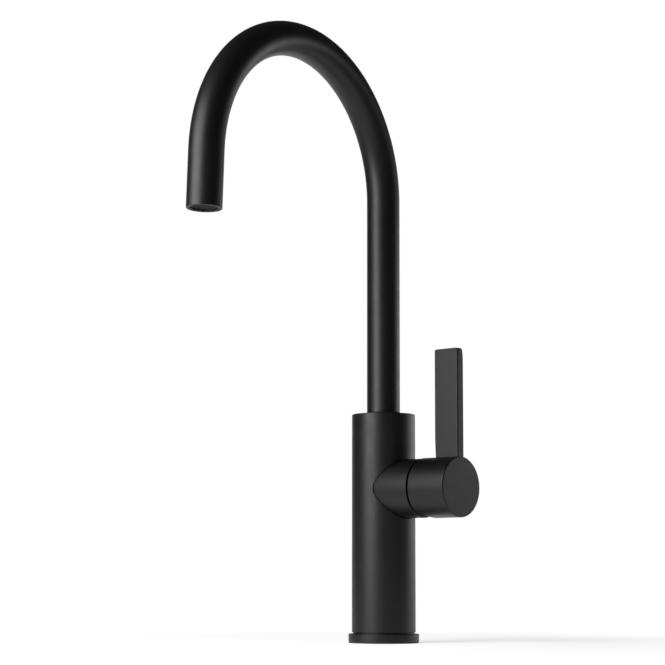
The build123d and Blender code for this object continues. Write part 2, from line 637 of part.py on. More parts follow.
# Stop screw at the back of the column, its nose in the slot of the foot
stop_end = BODY_R - STOP_SET_IN
stop_step = FLANGE_BORE / 2 + STOP_END_PLAY
stop_axis = Pos(0, 0, STOP_Z) * Rot(-90, 0, 0)
stop_screw = Pos(0, 0, (stop_step + stop_end) / 2) * Cylinder(STOP_SCREW_D / 2, stop_end - stop_step)
stop_screw += Pos(0, 0, (STOP_NOSE_R + stop_step) / 2) * Cylinder(STOP_NOSE_D / 2, stop_step - STOP_NOSE_R)
stop_screw -= Pos(0, 0, stop_end - HEX_DEPTH) * hex_socket
save("stop_screw", stop_axis * stop_screw)

# Aerator: notched rim, seal washer, jet grille and the filter screen behind it
rim_d = OUTLET_BORE - 2 * SEAT
rim_bore = rim_d - 2 * AERATOR_RIM_WALL
rim_top = AERATOR_SET_BACK + AERATOR_RIM_H
aerator_rim = in_outlet(rim_d, AERATOR_SET_BACK, rim_top) - in_outlet(rim_bore, -OVER, rim_top + OVER)
notch_z = AERATOR_SET_BACK + KEY_NOTCH_H / 2
notch = outlet * (Pos(rim_bore / 2, 0, notch_z) * Box(KEY_NOTCH_W, KEY_NOTCH_W, KEY_NOTCH_H))
outlet_axis = Axis(outlet.origin, outlet.z_dir)
for step in range(KEY_NOTCHES):
    aerator_rim -= notch.rotate(outlet_axis, step * 360 / KEY_NOTCHES)
lip_top = rim_top - AERATOR_LIP_H
lip_bore = rim_bore - 2 * AERATOR_LIP_W
lip_hole = in_outlet(lip_bore, lip_top - OVER, OUTLET_DEPTH + OVER)
aerator_rim += in_outlet(rim_d, lip_top, rim_top) - lip_hole
save("aerator_rim", spout_turn * aerator_rim)
aerator_seal = in_outlet(rim_d, rim_top, OUTLET_DEPTH) - lip_hole
save("aerator_seal", spout_turn * aerator_seal)
grille_z = AERATOR_SET_BACK + GRILLE_SET_BACK
pitch = (rim_bore / 2 - GRILLE_EDGE) / (GRILLE_RINGS + GRILLE_OPEN / 2)
hole_d = GRILLE_OPEN * pitch
grille = in_outlet(rim_bore - 2 * RUN, grille_z, grille_z + GRILLE_H)
for row in range(-GRILLE_RINGS, GRILLE_RINGS + 1):
    count = 2 * GRILLE_RINGS + 1 - abs(row)
    for i in range(count):
        hole_x = (i - (count - 1) / 2) * pitch
        hole_y = row * pitch * math.sqrt(3) / 2
        grille -= in_outlet(hole_d, grille_z - OVER, grille_z + GRILLE_H + OVER, hole_x, hole_y)
save("aerator_grille", spout_turn * grille)
filter_z = grille_z + GRILLE_H
filter_d = rim_bore - 2 * RUN
filter_floor = lip_top - FILTER_FLOOR
aerator_filter = in_outlet(filter_d, filter_z, lip_top)
aerator_filter -= in_outlet(filter_d - 2 * FILTER_WALL, filter_z - OVER, filter_floor)
for i in range(FILTER_HOLES):
    a = 2 * math.pi * i / FILTER_HOLES
    hole_x = filter_d / 4 * math.cos(a)
    hole_y = filter_d / 4 * math.sin(a)
    aerator_filter -= in_outlet(FILTER_HOLE_D, filter_z, lip_top + OVER, hole_x, hole_y)
save("aerator_filter", spout_turn * aerator_filter)
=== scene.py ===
import json
import math

import bmesh
import bpy
import numpy as np
from mathutils import Matrix, Vector


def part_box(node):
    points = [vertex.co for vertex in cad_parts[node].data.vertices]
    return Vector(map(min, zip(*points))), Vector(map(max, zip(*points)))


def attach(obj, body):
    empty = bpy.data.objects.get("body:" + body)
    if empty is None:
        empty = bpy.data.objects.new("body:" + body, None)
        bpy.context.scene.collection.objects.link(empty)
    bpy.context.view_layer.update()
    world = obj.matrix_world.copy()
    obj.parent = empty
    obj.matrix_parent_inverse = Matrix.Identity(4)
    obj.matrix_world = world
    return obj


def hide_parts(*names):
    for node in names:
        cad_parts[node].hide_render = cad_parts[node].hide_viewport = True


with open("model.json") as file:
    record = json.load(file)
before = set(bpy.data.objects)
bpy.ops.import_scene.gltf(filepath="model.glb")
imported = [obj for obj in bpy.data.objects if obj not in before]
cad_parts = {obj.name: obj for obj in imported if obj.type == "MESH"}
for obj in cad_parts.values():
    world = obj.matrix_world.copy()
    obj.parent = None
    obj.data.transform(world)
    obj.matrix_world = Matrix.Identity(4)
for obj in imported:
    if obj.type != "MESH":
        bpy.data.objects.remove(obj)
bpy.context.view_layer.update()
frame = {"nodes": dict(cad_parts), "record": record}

# Sizes in millimetres, as in the CAD source, with the tube a hair thinner to stay within its box
MM = 0.001
BODY_R, BODY_BORE_R, BODY_TOP_Z, CORE_TOP_Z = 22.9, 19.7, 163.7, 158.7
COLUMN_FOOT_R, COLUMN_GAP = 22.1, 1.0
RING_R, RING_H, RING_LEDGE, RING_BORE_R = 25.3, 6.5, 3.0, 17.2
SEAL_H, SEAL_IN_R, SEAL_OUT_R, SEAL_DEPTH = 1.0, 19.5, 23.0, 2.0
TUBE_R, TUBE_BORE_R, TUBE_FOOT_Z = 11.99, 10.5, 152.0
ARCH_R, SPRING_Z, SWEEP_DEG, OUTLET_LEG, SPOUT_TURN = 100.0, 319.7, 177.6, 39.3, 5.0
SLIP_R = 13.5
OUTLET_R, OUTLET_DEPTH = 11.0, 12.0
AXIS_Z, BOSS_R, BOSS_END_X, BOSS_SHOULDER_X, SEAT_X = 109.4, 21.0, 38.0, 8.5, 2.0
SEAM, SEAM_RUN, PAST_COLUMN_X = 0.5, 0.6, 30.0
SPIGOT_R, CARTRIDGE_R, NUT_R, NUT_X = 17.0, 14.1, 16.5, 29.5
KNOB_R, KNOB_REAR_X, KNOB_END_X, KNOB_WALL, KNOB_FLOOR_X = 21.35, 39.5, 71.3, 3.2, 57.0
PIVOT_X, SWING_PLAY, SEAT_PLAY = 24.0, 0.25, 0.05
CAP_BORE_R, DOME_CLEAR, DOME_MOUTH_DEG, DOME_LIP, DOME_LIP_BACK = 10.75, 2.6, 41.0, 0.9, 0.3
RELIEF_DROP, RELIEF_RUN = 17.294, 9.0
GRUB_X, GRUB_R, GRUB_LOW, GRUB_HIGH = 53.0, 2.55, 24.0, 15.0
LEVER_OUT, LEVER_W, LEVER_T, LEVER_TOP = 71.1, 20.7, 7.1, 97.9
LEVER_WAIST, LEVER_WAIST_SHARE, LEVER_EDGE = 0.85, 0.25, 0.9
LEVER_TIP_BACK, LEVER_TIP_RUN, LEVER_CORNER = 1.2, 9.0, 1.5
LEVER_ROOT, LEVER_FOOT, LEVER_SINK, LEVER_START = 3.0, 0.4, 0.3, 2.0
STOP_Z, STOP_R, STOP_IN_Y, STOP_OUT_Y = 149.0, 2.55, 16.0, 26.0
RING_PLAY = 0.1
# Edge radii
TIGHT_EDGE, FINE_EDGE, SMALL_EDGE, TOP_EDGE = 0.15, 0.2, 0.3, 0.5
BOSS_EDGE, KNOB_EDGE, CUP_EDGE, LIP_EDGE = 0.35, 0.9, 0.8, 0.35


# Mesh helpers: distance of a holding point, sharp angle, and turn of a round cutter off the seams
HOLD, SHARP_DEG, OFF_SEAM = 0.04, 32, 0.37


def rounded(corners, steps=6):
    """A closed outline from (u, v, radius) corners, each rounded and held by a near point on both sides."""
    out = []
    n = len(corners)
    for i, (u, v, r) in enumerate(corners):
        here = np.array((u, v), float)
        if r <= 0:
            out.append(here)
            continue
        before = np.array(corners[i - 1][:2], float) - here
        after = np.array(corners[(i + 1) % n][:2], float) - here
        before /= np.linalg.norm(before)
        after /= np.linalg.norm(after)
        half = math.acos(np.clip(before @ after, -1, 1)) / 2
        middle = here + (before + after) / np.linalg.norm(before + after) * r / math.sin(half)
        first = here + before * r / math.tan(half) - middle
        last = here + after * r / math.tan(half) - middle
        a0 = math.atan2(first[1], first[0])
        a1 = math.atan2(last[1], last[0])
        turn = (a1 - a0 + math.pi) % (2 * math.pi) - math.pi
        out.append(middle + first + before * HOLD)
        for k in range(steps + 1):
            a = a0 + turn * k / steps
            out.append(middle + r * np.array((math.cos(a), math.sin(a))))
        out.append(middle + last + after * HOLD)
    return out


def build(name, verts, faces, sharp=SHARP_DEG):
    """A mesh object from millimetre points, cleaned, smooth with sharp edges."""
    mesh = bpy.data.meshes.new(name)
    mesh.from_pydata([tuple(MM * float(c) for c in v) for v in verts], [], faces)
    bm = bmesh.new()
    bm.from_mesh(mesh)
    bmesh.ops.remove_doubles(bm, verts=bm.verts, dist=1e-7)
    bmesh.ops.dissolve_degenerate(bm, edges=bm.edges, dist=1e-8)
    bmesh.ops.recalc_face_normals(bm, faces=bm.faces)
    bm.to_mesh(mesh)
    bm.free()
    obj = bpy.data.objects.new(name, mesh)
    bpy.context.scene.collection.objects.link(obj)
    soften(obj, sharp)
    return obj


def soften(obj, sharp=SHARP_DEG):
    """Smooth shading, with an edge kept sharp where its faces meet at a larger angle."""
    mesh = obj.data
    mesh.polygons.foreach_set("use_smooth", [True] * len(mesh.polygons))
    mesh.set_sharp_from_angle(angle=math.radians(sharp))


def turned(name, outline, axis="Z", segments=192):
    """A closed (radius, station) outline turned about the column or the handle axis."""
    verts, faces = [], []
    n = len(outline)
    for k in range(segments):
        a = 2 * math.pi * k / segments
        for r, h in outline:
            p, q = r * math.cos(a), r * math.sin(a)
            verts.append((p, q, h) if axis == "Z" else (h, p, AXIS_Z + q))
    for k in range(segments):
        here, there = k * n, (k + 1) % segments * n
        for i in range(n):
            j = (i + 1) % n
            faces.append((here + i, here + j, there + j, there + i))
    return build(name, verts, faces)


def loft(name, rings, sharp=SHARP_DEG):
    """Closed rings joined in order, with a face on each end."""
    n = len(rings[0])
    verts = [p for ring in rings for p in ring]
    faces = [tuple(range(n)), tuple(range(len(verts) - n, len(verts)))]
    for k in range(len(rings) - 1):
        for i in range(n):
            j = (i + 1) % n
            faces.append((k * n + i, k * n + j, (k + 1) * n + j, (k + 1) * n + i))
    return build(name, verts, faces, sharp)


def bar(radius, start, end, segments=96):
    """A round cutter between two points."""
    a, b = np.array(start, float), np.array(end, float)
    w = (b - a) / np.linalg.norm(b - a)
    u = np.cross(w, (0, 0, 1) if abs(w[2]) < 0.9 else (1, 0, 0))
    u /= np.linalg.norm(u)
    v = np.cross(w, u)
    angles = [2 * math.pi * (k + OFF_SEAM) / segments for k in range(segments)]
    rings = [[c + radius * (math.cos(t) * u + math.sin(t) * v) for t in angles] for c in (a, b)]
    return loft("cutter", rings)


def prism(corners, y0, y1):
    """A cutter with an (x, height over the handle axis) outline, between two depths."""
    return loft("cutter", [[(x, y, AXIS_Z + z) for x, z in corners] for y in (y0, y1)])


def cut(obj, *cutters, sharp=SHARP_DEG):
    """Takes the cutters out of a piece."""
    for c in cutters:
        step = obj.modifiers.new("cut", "BOOLEAN")
        step.operation, step.solver, step.object = "DIFFERENCE", "EXACT", c
    shown = obj.evaluated_get(bpy.context.evaluated_depsgraph_get())
    mesh = bpy.data.meshes.new_from_object(shown)
    obj.modifiers.clear()
    obj.data = mesh
    for c in cutters:
        bpy.data.objects.remove(c)
    soften(obj, sharp)


# Materials
class Finish:
    """A Principled material with helpers for its procedural detail."""

    def __init__(self, name, **values):
        self.material = bpy.data.materials.new(name)
        self.material.use_nodes = True
        self.tree = self.material.node_tree
        self.shader = self.tree.nodes["Principled BSDF"]
        for socket, value in values.items():
            self.shader.inputs[socket.replace("_", " ")].default_value = value
        self.place = self.add("ShaderNodeTexCoord").outputs["Object"]

    def add(self, kind, **values):
        node = self.tree.nodes.new(kind)
        for key, value in values.items():
            setattr(node, key, value)
        return node

    def join(self, source, target):
        self.tree.links.new(source, target)

    def noise(self, scale, detail=3.0, rough=0.55, stretch=None):
        source = self.place
        if stretch:
            squeeze = self.add("ShaderNodeMapping")
            squeeze.inputs["Scale"].default_value = stretch
            self.join(source, squeeze.inputs["Vector"])
            source = squeeze.outputs["Vector"]
        node = self.add("ShaderNodeTexNoise")
        node.inputs["Scale"].default_value = scale
        node.inputs["Detail"].default_value = detail
        node.inputs["Roughness"].default_value = rough
        self.join(source, node.inputs["Vector"])
        return node.outputs["Fac"]

    def span(self, source, low, high, start=0.3, stop=0.7):
        node = self.add("ShaderNodeMapRange")
        for socket, value in zip(("From Min", "From Max", "To Min", "To Max"), (start, stop, low, high)):
            node.inputs[socket].default_value = value
        self.join(source, node.inputs["Value"])
        return node.outputs["Result"]

    def colours(self, source, stops):
        node = self.add("ShaderNodeValToRGB")
        ramp = node.color_ramp
        while len(ramp.elements) < len(stops):
            ramp.elements.new(0.5)
        for element, (position, colour) in zip(ramp.elements, stops):
            element.position = position
            element.color = (*colour, 1.0)
        self.join(source, node.inputs["Fac"])
        self.join(node.outputs["Color"], self.shader.inputs["Base Color"])

    def rough(self, source, low, high):
        self.join(self.span(source, low, high), self.shader.inputs["Roughness"])

    def bump(self, *layers):
        """Layers of (height source, strength, depth in metres), coarse first."""
        normal = None
        for source, strength, depth in layers:
            node = self.add("ShaderNodeBump")
            node.inputs["Strength"].default_value = strength
            node.inputs["Distance"].default_value = depth
            self.join(source, node.inputs["Height"])
            if normal:
                self.join(normal, node.inputs["Normal"])
            normal = node.outputs["Normal"]
        self.join(normal, self.shader.inputs["Normal"])


def powder_coat():
    f = Finish("matte_black", Specular_IOR_Level=0.40)
    grain = f.noise(2600, 2.0, 0.6)
    peel = f.noise(900, 2.0, 0.5)
    cloud = f.noise(38, 4.0, 0.6)
    f.colours(cloud, [(0.30, (0.0018, 0.0018, 0.0019)), (0.70, (0.0032, 0.0032, 0.0033))])
    f.rough(f.noise(160, 4.0, 0.6), 0.40, 0.46)
    f.bump((peel, 0.10, 0.00006), (grain, 0.12, 0.00003))
    return f.material


def moulded(name, dark, light, low, high, gloss=0.5):
    f = Finish(name, Specular_IOR_Level=gloss)
    f.colours(f.noise(60, 4.0, 0.6), [(0.30, dark), (0.70, light)])
    f.rough(f.noise(240, 4.0, 0.6), low, high)
    f.bump((f.noise(1800, 2.0, 0.5), 0.18, 0.00004))
    return f.material


def turned_metal(name, dark, light, stretch, low=0.22, high=0.38):
    f = Finish(name, Metallic=1.0)
    marks = f.noise(1500, 3.0, 0.65, stretch)
    f.colours(f.noise(70, 5.0, 0.6), [(0.28, dark), (0.72, light)])
    f.rough(marks, low, high)
    f.bump((marks, 0.25, 0.00003))
    return f.material


def lapped_ceramic():
    f = Finish("ceramic")
    f.colours(f.noise(420, 6.0, 0.7), [(0.30, (0.80, 0.79, 0.75)), (0.70, (0.88, 0.87, 0.84))])
    f.rough(f.noise(300, 3.0), 0.12, 0.22)
    f.bump((f.noise(2200, 2.0), 0.08, 0.00002))
    return f.material


finishes = {
    "matte_black": powder_coat(),
    "black_plastic": moulded("black_plastic", (0.006,) * 3, (0.014,) * 3, 0.48, 0.62, 0.35),
    "grey_plastic": moulded("grey_plastic", (0.018, 0.018, 0.019), (0.05, 0.05, 0.052), 0.50, 0.70, 0.22),
    "white_plastic": moulded("white_plastic", (0.74, 0.74, 0.71), (0.82, 0.82, 0.80), 0.36, 0.48),
    "brass": turned_metal("brass", (0.62, 0.45, 0.20), (0.76, 0.58, 0.30), (0.05, 0.05, 1.0)),
    "copper": turned_metal("copper", (0.66, 0.34, 0.21), (0.76, 0.44, 0.29), (1.0, 1.0, 0.04)),
    "steel": turned_metal("steel", (0.48, 0.48, 0.49), (0.60, 0.60, 0.61), (1.0, 0.06, 1.0)),
    "ceramic": lapped_ceramic(),
    "rubber": moulded("rubber", (0.016, 0.016, 0.016), (0.030, 0.030, 0.030), 0.62, 0.80),
}

# Every CAD node takes the finish of its slot
for part in frame["record"]["subparts"]:
    node = frame["nodes"][part["node"]]
    for place in node.material_slots:
        place.material = finishes[part["material_slot"]]


def fit(obj, body, slot, *nodes):
    """A finished piece: its material, the body it rides on and the CAD nodes it stands for."""
    obj.data.materials.clear()
    obj.data.materials.append(finishes[slot])
    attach(obj, body)
    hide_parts(*nodes)


# Column and base
column = turned("column", rounded([
    (BODY_BORE_R, RING_LEDGE, 0),
    (COLUMN_FOOT_R, RING_LEDGE, SMALL_EDGE),
    (COLUMN_FOOT_R, RING_H + COLUMN_GAP, TIGHT_EDGE),
    (BODY_R, RING_H + COLUMN_GAP, FINE_EDGE),
    (BODY_R, BODY_TOP_Z, TOP_EDGE),
    (SLIP_R, BODY_TOP_Z, FINE_EDGE),
    (SLIP_R, CORE_TOP_Z, 0),
    (BODY_BORE_R, CORE_TOP_Z, 0),
]), segments=256)
cut(
    column,
    bar(BOSS_R + SEAM, (BOSS_SHOULDER_X - SEAM_RUN, 0, AXIS_Z), (PAST_COLUMN_X, 0, AXIS_Z), 256),
    bar(STOP_R, (0, STOP_IN_Y, STOP_Z), (0, STOP_OUT_Y, STOP_Z), 48),
)
fit(column, "body", "matte_black", "body_shell")

foot = turned("foot_ring", rounded([
    (RING_BORE_R, SEAL_H, FINE_EDGE),
    (SEAL_IN_R, SEAL_H, 0),
    (SEAL_IN_R, SEAL_DEPTH, 0),
    (SEAL_OUT_R, SEAL_DEPTH, 0),
    (SEAL_OUT_R, SEAL_H, 0),
    (RING_R, SEAL_H, FINE_EDGE),
    (RING_R, RING_H, TOP_EDGE),
    (COLUMN_FOOT_R + RING_PLAY, RING_H, FINE_EDGE),
    (COLUMN_FOOT_R + RING_PLAY, RING_LEDGE, 0),
    (RING_BORE_R, RING_LEDGE, 0),
]), segments=256)
fit(foot, "body", "matte_black", "base_ring")

# Valve boss
boss = turned("side_boss", rounded([
    (CARTRIDGE_R, SEAT_X, 0),
    (SPIGOT_R, SEAT_X, SMALL_EDGE),
    (SPIGOT_R, BOSS_SHOULDER_X, 0),
    (BOSS_R, BOSS_SHOULDER_X, FINE_EDGE),
    (BOSS_R, BOSS_END_X, BOSS_EDGE),
    (NUT_R, BOSS_END_X, FINE_EDGE),
    (NUT_R, NUT_X, 0),
    (CARTRIDGE_R, NUT_X, 0),
]), "X", 224)
fit(boss, "body", "matte_black", "valve_boss")

# Domed cap in the gap behind the knob, round the pivot
swing_r = math.hypot(BOSS_END_X - PIVOT_X, BOSS_R) + SWING_PLAY
dome_r = swing_r - DOME_CLEAR
cap_back_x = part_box("cartridge_cap")[0][0] / MM
dome_base = math.acos((BOSS_END_X - PIVOT_X) / dome_r)
DOME_STEPS = 16
dome = []
for k in range(DOME_STEPS + 1):
    a = dome_base + (math.radians(DOME_MOUTH_DEG) - dome_base) * k / DOME_STEPS
    dome.append((dome_r * math.sin(a), PIVOT_X + dome_r * math.cos(a), 0))
mouth_r, mouth_x, _ = dome[-1]
bonnet = turned("cartridge_bonnet", rounded([
    (CAP_BORE_R, cap_back_x, 0),
    (NUT_R - SEAT_PLAY, cap_back_x, 0),
    (NUT_R - SEAT_PLAY, BOSS_END_X, 0),
    *dome,
    (mouth_r - DOME_LIP, mouth_x - DOME_LIP_BACK, FINE_EDGE),
    (CAP_BORE_R, BOSS_END_X, SMALL_EDGE),
]), "X", 160)
fit(bonnet, "body", "black_plastic", "cartridge_cap")

# Knob
knob_bore = KNOB_R - KNOB_WALL
rim_r = math.sqrt(swing_r ** 2 - (KNOB_REAR_X - PIVOT_X) ** 2)
BALL_STEPS = 12
ball = []
for k in range(BALL_STEPS + 1):
    r = rim_r + (knob_bore - rim_r) * k / BALL_STEPS
    ball.append((r, PIVOT_X + math.sqrt(swing_r ** 2 - r ** 2), 0))
knob = turned("knob", rounded([
    (KNOB_R, KNOB_REAR_X, KNOB_EDGE),
    (KNOB_R, KNOB_END_X, KNOB_EDGE),
    (0, KNOB_END_X, 0),
    (0, KNOB_FLOOR_X, 0),
    (knob_bore, KNOB_FLOOR_X, CUP_EDGE),
    *reversed(ball),
]), "X", 224)
# Relief under the rear: a wedge that reaches past the knob behind, ahead, below and on both sides
RELIEF_BEHIND, RELIEF_AHEAD, RELIEF_BELOW, RELIEF_HALF = 2, 13, 5, 30
slope = (KNOB_R - RELIEF_DROP) / RELIEF_RUN
cut(
    knob,
    prism([
        (KNOB_REAR_X - RELIEF_BEHIND, -RELIEF_DROP + RELIEF_BEHIND * slope),
        (KNOB_REAR_X + RELIEF_AHEAD, -RELIEF_DROP - RELIEF_AHEAD * slope),
        (KNOB_REAR_X - RELIEF_BEHIND, -KNOB_R - RELIEF_BELOW),
    ], -RELIEF_HALF, RELIEF_HALF),
    bar(GRUB_R, (GRUB_X, 0, AXIS_Z - GRUB_LOW), (GRUB_X, 0, AXIS_Z - GRUB_HIGH), 48),
)
fit(knob, "handle", "matte_black", "handle_knob")


# Lever
def lever_ring(z, inset, steps=6):
    """One level of the blade: a rounded oblong at a height over the handle axis."""
    root = KNOB_R - LEVER_ROOT
    waist_top = root + (LEVER_TOP - root) * LEVER_WAIST_SHARE
    low = max(0.0, (waist_top - z) / (waist_top - root))
    x0 = LEVER_OUT - LEVER_W + LEVER_WAIST * low ** 2
    x1 = LEVER_OUT
    y0, y1 = -LEVER_T / 2, LEVER_T / 2
    tip = max(0.0, (z - (LEVER_TOP - LEVER_TIP_RUN)) / LEVER_TIP_RUN)
    y1 -= LEVER_TIP_BACK * tip ** 2
    over = max(0.0, z - (LEVER_TOP - LEVER_CORNER))
    shy = LEVER_CORNER - math.sqrt(max(0.0, LEVER_CORNER ** 2 - over ** 2))
    x0, x1 = x0 + shy, x1 - shy
    y0, y1 = y0 + inset, y1 - inset
    return rounded([(x, y, LEVER_EDGE) for x, y in ((x0, y0), (x1, y0), (x1, y1), (x0, y1))], steps)


levels = [(KNOB_R - LEVER_FOOT, 0.0)]
levels += [(z, 0.0) for z in np.linspace(KNOB_R + LEVER_START, LEVER_TOP - LEVER_TIP_RUN, 26)]
levels += [(z, 0.0) for z in np.linspace(LEVER_TOP - LEVER_TIP_RUN, LEVER_TOP - LEVER_CORNER, 8)[1:]]
CORNER_STEPS = 14
for k in range(1, CORNER_STEPS + 1):
    over = LEVER_CORNER * math.sin(math.pi / 2 * k / CORNER_STEPS)
    past = max(0.0, over - (LEVER_CORNER - LEVER_EDGE))
    inset = LEVER_EDGE - math.sqrt(max(0.0, LEVER_EDGE ** 2 - past ** 2))
    levels.append((LEVER_TOP - LEVER_CORNER + over, inset))
blade_rings = []
for i, (z, inset) in enumerate(levels):
    ring = lever_ring(z, inset)
    if i == 0:
        blade_rings.append([(x, y, AXIS_Z + math.sqrt(KNOB_R ** 2 - y ** 2) - LEVER_SINK) for x, y in ring])
    else:
        blade_rings.append([(x, y, AXIS_Z + z) for x, y in ring])
blade = loft("lever_blade", blade_rings)
fit(blade, "handle", "matte_black", "handle_lever")

# Spout
spout_place = Matrix.Rotation(math.radians(SPOUT_TURN - 90), 4, "Z")
riser_l = SPRING_Z - TUBE_FOOT_Z
arch_l = ARCH_R * math.radians(SWEEP_DEG)
tube_l = riser_l + arch_l + OUTLET_LEG


def along(s):
    """Centre, outward normal and direction of the tube at a distance along it."""
    a = min(max((s - riser_l) / ARCH_R, 0.0), math.radians(SWEEP_DEG))
    centre = np.array((ARCH_R - ARCH_R * math.cos(a), 0.0, SPRING_Z + ARCH_R * math.sin(a)))
    way = np.array((math.sin(a), 0.0, math.cos(a)))
    out = np.array((-math.cos(a), 0.0, math.sin(a)))
    if s < riser_l:
        centre[2] = TUBE_FOOT_Z + s
    elif s > riser_l + arch_l:
        centre = centre + way * (s - riser_l - arch_l)
    return centre, out, way


def in_spout(point):
    return tuple(spout_place @ Vector(point))


def swept(name, stations, segments=160):
    """Rings of (distance along the tube, radius), closed back to the first."""
    verts, faces = [], []
    for s, r in stations:
        centre, out, way = along(s)
        side = np.cross(way, out)
        for k in range(segments):
            t = 2 * math.pi * k / segments
            verts.append(in_spout(centre + r * (math.cos(t) * out + math.sin(t) * side)))
    n = len(stations)
    for i in range(n):
        here, there = i * segments, (i + 1) % n * segments
        for k in range(segments):
            j = (k + 1) % segments
            faces.append((here + k, here + j, there + j, there + k))
    return build(name, verts, faces)


RISER_STEPS, ARCH_STEPS, LEG_STEPS = 24, 150, 8
LEG_END, INNER_END, LIP_HOLD = 2.0, 1.0, 0.4
run = [riser_l * k / RISER_STEPS for k in range(1, RISER_STEPS)]
run += [riser_l + arch_l * k / ARCH_STEPS for k in range(ARCH_STEPS + 1)]
run += [riser_l + arch_l + (OUTLET_LEG - LEG_END) * k / LEG_STEPS for k in range(1, LEG_STEPS + 1)]
inner = [s for s in run if s < tube_l - OUTLET_DEPTH - INNER_END]
lip = [(tube_l + LIP_EDGE * (math.sin(t) - 1), TUBE_R + LIP_EDGE * (math.cos(t) - 1))
       for t in np.linspace(0, math.pi / 2, 6)]
mouth = [(tube_l + FINE_EDGE * (math.sin(t) - 1), OUTLET_R + FINE_EDGE * (1 - math.cos(t)))
         for t in np.linspace(math.pi / 2, 0, 5)]
stations = [(0.0, TUBE_R)] + [(s, TUBE_R) for s in run] + [(tube_l - LIP_HOLD, TUBE_R)] + lip + mouth
stations += [(tube_l - OUTLET_DEPTH, OUTLET_R), (tube_l - OUTLET_DEPTH, TUBE_BORE_R)]
stations += [(s, TUBE_BORE_R) for s in reversed(inner)] + [(0.0, TUBE_BORE_R)]
tube = swept("spout", stations)
fit(tube, "spout", "matte_black", "spout_tube")


# Aerator
def in_outlet(x, y, depth):
    """A point in the outlet: across it, sideways, and up from its open end."""
    centre, out, way = along(tube_l)
    side = np.cross(way, out)
    return in_spout(centre + out * x + side * y - way * depth)


def outlet_turned(name, outline, segments=128):
    """A closed (radius, depth) outline turned about the outlet."""
    verts, faces = [], []
    n = len(outline)
    for k in range(segments):
        a = 2 * math.pi * k / segments
        verts += [in_outlet(r * math.cos(a), r * math.sin(a), d) for r, d in outline]
    for k in range(segments):
        here, there = k * n, (k + 1) % segments * n
        for i in range(n):
            j = (i + 1) % n
            faces.append((here + i, here + j, there + j, there + i))
    return build(name, verts, faces)


RIM_R, RIM_BORE_R, RIM_LOW, RIM_TOP, RIM_FLANGE, RIM_FLANGE_H = 10.9, 9.2, 0.3, 10.1, 1.0, 1.2
NOTCHES, NOTCH_IN_R, NOTCH_OUT_R, NOTCH_HALF, NOTCH_LOW, NOTCH_TOP = 8, 8.4, 10.0, 0.8, -0.5, 1.7
rim = outlet_turned("aerator_ring", rounded([
    (RIM_BORE_R, RIM_LOW, FINE_EDGE),
    (RIM_R, RIM_LOW, FINE_EDGE),
    (RIM_R, RIM_TOP, 0),
    (RIM_BORE_R - RIM_FLANGE, RIM_TOP, 0),
    (RIM_BORE_R - RIM_FLANGE, RIM_TOP - RIM_FLANGE_H, 0),
    (RIM_BORE_R, RIM_TOP - RIM_FLANGE_H, 0),
]))
notches = []
square = [
    (NOTCH_IN_R, -NOTCH_HALF),
    (NOTCH_OUT_R, -NOTCH_HALF),
    (NOTCH_OUT_R, NOTCH_HALF),
    (NOTCH_IN_R, NOTCH_HALF),
]
for k in range(NOTCHES):
    a = 2 * math.pi * k / NOTCHES
    c, s = math.cos(a), math.sin(a)
    turned_square = [(c * u - s * v, s * u + c * v) for u, v in square]
    rings = [[in_outlet(x, y, d) for x, y in turned_square] for d in (NOTCH_LOW, NOTCH_TOP)]
    notches.append(loft("cutter", rings))
cut(rim, *notches)
fit(rim, "spout", "black_plastic", "aerator_rim")

# Honeycomb of the jet: six-sided cells on a shared lattice, inside a solid ring
PITCH, WALL, CELL_LOW, CELL_TOP, CELL_ROWS, CELL_REACH = 1.9, 0.42, 1.3, 3.3, 5, 8.3
COMB_SHARP_DEG, HOOP_BORE_R, HOOP_EDGE = 20, 7.9, 0.1
verts, faces = [], []
walls = {}
cell_r = PITCH / math.sqrt(3)
hole_r = (PITCH - WALL) / math.sqrt(3)
for row in range(-CELL_ROWS, CELL_ROWS + 1):
    for col in range(-CELL_ROWS - 3, CELL_ROWS + 4):
        x = (col + 0.5 * (row % 2)) * PITCH
        y = row * PITCH * math.sqrt(3) / 2
        if math.hypot(x, y) > CELL_REACH:
            continue
        first = len(verts)
        for d in (CELL_LOW, CELL_TOP):
            for r in (cell_r, hole_r):
                for k in range(6):
                    a = math.radians(60 * k + 30)
                    verts.append(in_outlet(x + r * math.cos(a), y + r * math.sin(a), d))
        for k in range(6):
            j = (k + 1) % 6
            faces.append((first + k, first + j, first + 6 + j, first + 6 + k))
            faces.append((first + 12 + k, first + 12 + j, first + 18 + j, first + 18 + k))
            faces.append((first + 6 + k, first + 6 + j, first + 18 + j, first + 18 + k))
            a = math.radians(60 * k + 60)
            place = (
                round(4 * x / PITCH + 2 * math.cos(a)),
                round(2 * row + 2 * math.sin(a) / math.sqrt(3)),
            )
            walls.setdefault(place, []).append((first + k, first + j, first + 12 + j, first + 12 + k))
# A side that no second cell shares is an outer wall
faces += [shared[0] for shared in walls.values() if len(shared) == 1]
comb = build("aerator_honeycomb", verts, faces, COMB_SHARP_DEG)
fit(comb, "spout", "grey_plastic", "aerator_grille")
hoop = outlet_turned("aerator_hoop", rounded([
    (HOOP_BORE_R, CELL_LOW, HOOP_EDGE),
    (RIM_BORE_R - SEAT_PLAY, CELL_LOW, HOOP_EDGE),
    (RIM_BORE_R - SEAT_PLAY, CELL_TOP, 0),
    (HOOP_BORE_R, CELL_TOP, 0),
]))
fit(hoop, "spout", "grey_plastic")

